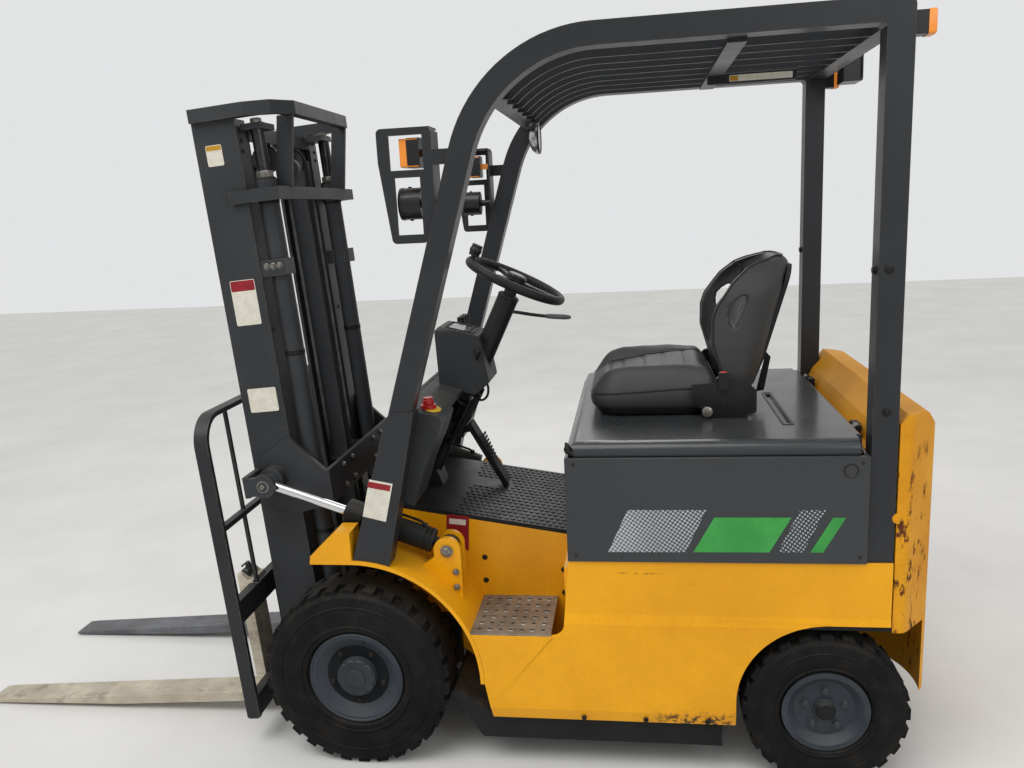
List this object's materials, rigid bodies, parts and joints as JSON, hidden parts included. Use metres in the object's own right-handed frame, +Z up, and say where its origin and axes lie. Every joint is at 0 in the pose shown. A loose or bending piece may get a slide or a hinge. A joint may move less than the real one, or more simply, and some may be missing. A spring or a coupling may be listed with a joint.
{
  "type": "forklift truck",
  "caption": "Battery forklift truck with a tilting lift mast, forks, overhead guard, seat on a hinged battery hood and a cast counterweight.",
  "frame": {"origin": "on the ground, under the middle of the truck with its forks", "axes": "+X to the truck's left, +Y to its rear, +Z up"},
  "size_m": [1.11, 3.2511, 2.16],
  "materials": {
    "amber_lens": "ribbed amber lens",
    "battery_case": "stands for a lead acid battery of mixed density",
    "black_paint": "satin chassis black",
    "black_plastic": "grained",
    "chain_steel": "greased steel",
    "cowl_plastic": "grained moulding",
    "dark_grey_paint": "satin enamel, dusty",
    "fork_steel": "worn bare steel",
    "lamp_black": "black lamp case",
    "mat_rubber": "dimpled mat",
    "mirror_shell": "black shell with a convex mirror",
    "red_plastic": "gloss",
    "rod_chrome": "polished hard chrome",
    "seat_vinyl": "glossy black vinyl",
    "step_steel": "galvanised plate with raised holes",
    "tyre_rubber": "solid rubber, dusty",
    "wheel_blue_grey": "satin enamel, dusty",
    "yellow_paint": "gloss enamel, scratched and rusty at the edges"
  },
  "bodies": {
    "chassis": {"frame": "yellow_paint", "side_sills": "yellow_paint", "fenders": "yellow_paint", "floor_plate": "black_paint", "floor_mat": "mat_rubber", "steps": "step_steel", "underframe": "black_paint", "battery": "battery_case", "battery_panels": "dark_grey_paint", "counterweight": "yellow_paint", "hood_hinges": "black_paint", "guard_sides": "dark_grey_paint", "guard_roof": "dark_grey_paint", "lamp_brackets": "dark_grey_paint", "turn_lamps": "amber_lens", "work_lamps": "lamp_black", "rear_lamps": "amber_lens", "mirror": "mirror_shell", "cowl": "cowl_plastic", "steering_column": "black_plastic", "display": "black_plastic", "column_foot": "black_paint", "controls": "black_plastic", "stop_switch": "red_plastic", "drive_axle": "black_paint", "steer_axle": "black_paint"},
    "mast_outer": {"mast_outer": "dark_grey_paint", "lift_cylinders": "dark_grey_paint", "chain_fixed": "chain_steel"},
    "mast_inner": {"mast_inner": "dark_grey_paint", "lift_rods": "rod_chrome", "chain_moving": "chain_steel", "chain_front": "chain_steel"},
    "carriage": {"carriage": "dark_grey_paint", "backrest": "dark_grey_paint"},
    "fork_left": {"fork_left": "fork_steel"},
    "fork_right": {"fork_right": "fork_steel"},
    "tilt_barrel_left": {"tilt_barrel_left": "dark_grey_paint"},
    "tilt_barrel_right": {"tilt_barrel_right": "dark_grey_paint"},
    "tilt_rod_left": {"tilt_rod_left": "rod_chrome"},
    "tilt_rod_right": {"tilt_rod_right": "rod_chrome"},
    "wheel_front_left": {"tyre_front_left": "tyre_rubber", "rim_front_left": "wheel_blue_grey"},
    "wheel_front_right": {"tyre_front_right": "tyre_rubber", "rim_front_right": "wheel_blue_grey"},
    "knuckle_left": {"knuckle_left": "black_paint"},
    "knuckle_right": {"knuckle_right": "black_paint"},
    "steer_rod": {"steer_rod": "rod_chrome"},
    "wheel_rear_left": {"tyre_rear_left": "tyre_rubber", "rim_rear_left": "wheel_blue_grey"},
    "wheel_rear_right": {"tyre_rear_right": "tyre_rubber", "rim_rear_right": "wheel_blue_grey"},
    "steering_wheel": {"steering_wheel": "black_plastic"},
    "hood": {"hood": "dark_grey_paint", "seat_base": "black_plastic", "seat_cushion": "seat_vinyl", "seat_back": "seat_vinyl", "seat_buckle": "red_plastic"}
  },
  "joints": [
    {"name": "mast_tilt", "type": "hinge", "parent": "chassis", "child": "mast_outer", "pos_m": [0, -0.10935, 0.295], "axis": [1, 0, 0], "range_deg": [-16, 2]},
    {"name": "inner_lift", "type": "slide", "parent": "mast_outer", "child": "mast_inner", "axis": [0, -0.0694, 0.9976], "range_m": [0, 1.45]},
    {"name": "carriage_lift", "type": "slide", "parent": "mast_inner", "child": "carriage", "axis": [0, -0.0694, 0.9976], "range_m": [0, 1.45], "deforming": ["chain_front"]},
    {"name": "fork_left_shift", "type": "slide", "parent": "carriage", "child": "fork_left", "axis": [1, 0, 0], "range_m": [-0.14, 0.155]},
    {"name": "fork_right_shift", "type": "slide", "parent": "carriage", "child": "fork_right", "axis": [1, 0, 0], "range_m": [-0.155, 0.14]},
    {"name": "tilt_barrel_left_hinge", "type": "hinge", "parent": "chassis", "child": "tilt_barrel_left", "pos_m": [0.405, 0.18365, 0.678], "axis": [1, 0, 0], "range_deg": [-13.59, 2.14]},
    {"name": "tilt_rod_left_slide", "type": "slide", "parent": "tilt_barrel_left", "child": "tilt_rod_left", "axis": [0, -0.9408, 0.3389], "range_m": [-0.1335, 0.0184]},
    {"name": "tilt_barrel_right_hinge", "type": "hinge", "parent": "chassis", "child": "tilt_barrel_right", "pos_m": [-0.405, 0.18365, 0.678], "axis": [1, 0, 0], "range_deg": [-13.59, 2.14]},
    {"name": "tilt_rod_right_slide", "type": "slide", "parent": "tilt_barrel_right", "child": "tilt_rod_right", "axis": [0, -0.9408, 0.3389], "range_m": [-0.1335, 0.0184]},
    {"name": "wheel_front_left_spin", "type": "hinge", "parent": "chassis", "child": "wheel_front_left", "pos_m": [0.465, -0.10935, 0.295], "axis": [1, 0, 0], "continuous": true},
    {"name": "wheel_front_right_spin", "type": "hinge", "parent": "chassis", "child": "wheel_front_right", "pos_m": [-0.465, -0.10935, 0.295], "axis": [1, 0, 0], "continuous": true},
    {"name": "steer_left", "type": "hinge", "parent": "chassis", "child": "knuckle_left", "pos_m": [0.4, 1.29465, 0.233], "axis": [0, 0, 1], "range_deg": [-75, 75]},
    {"name": "steer_right", "type": "hinge", "parent": "chassis", "child": "knuckle_right", "pos_m": [-0.4, 1.29465, 0.233], "axis": [0, 0, 1], "range_deg": [-75, 75]},
    {"name": "steer_rod_slide", "type": "slide", "parent": "chassis", "child": "steer_rod", "axis": [1, 0, 0], "range_m": [-0.0702, 0.0702]},
    {"name": "wheel_rear_left_spin", "type": "hinge", "parent": "knuckle_left", "child": "wheel_rear_left", "pos_m": [0.485, 1.29465, 0.233], "axis": [1, 0, 0], "continuous": true},
    {"name": "wheel_rear_right_spin", "type": "hinge", "parent": "knuckle_right", "child": "wheel_rear_right", "pos_m": [-0.485, 1.29465, 0.233], "axis": [1, 0, 0], "continuous": true},
    {"name": "steering_wheel_turn", "type": "hinge", "parent": "chassis", "child": "steering_wheel", "pos_m": [0, 0.37665, 1.464], "axis": [0, 0.4384, 0.8988], "continuous": true},
    {"name": "hood_open", "type": "hinge", "parent": "chassis", "child": "hood", "pos_m": [0, 1.40065, 1.034], "axis": [-1, 0, 0], "range_deg": [0, 55]}
  ],
  "couplings": [
    {"joint": "carriage_lift", "follows": "inner_lift", "ratio": 1},
    {"joint": "tilt_barrel_left_hinge", "follows": "mast_tilt", "ratio": 0.818},
    {"joint": "tilt_rod_left_slide", "follows": "mast_tilt", "m_per_rad": 0.471},
    {"joint": "tilt_barrel_right_hinge", "follows": "mast_tilt", "ratio": 0.818},
    {"joint": "tilt_rod_right_slide", "follows": "mast_tilt", "m_per_rad": 0.471},
    {"joint": "steer_right", "follows": "steer_left", "ratio": 1},
    {"joint": "steer_rod_slide", "follows": "steer_left", "m_per_rad": 0.0535}
  ]
}
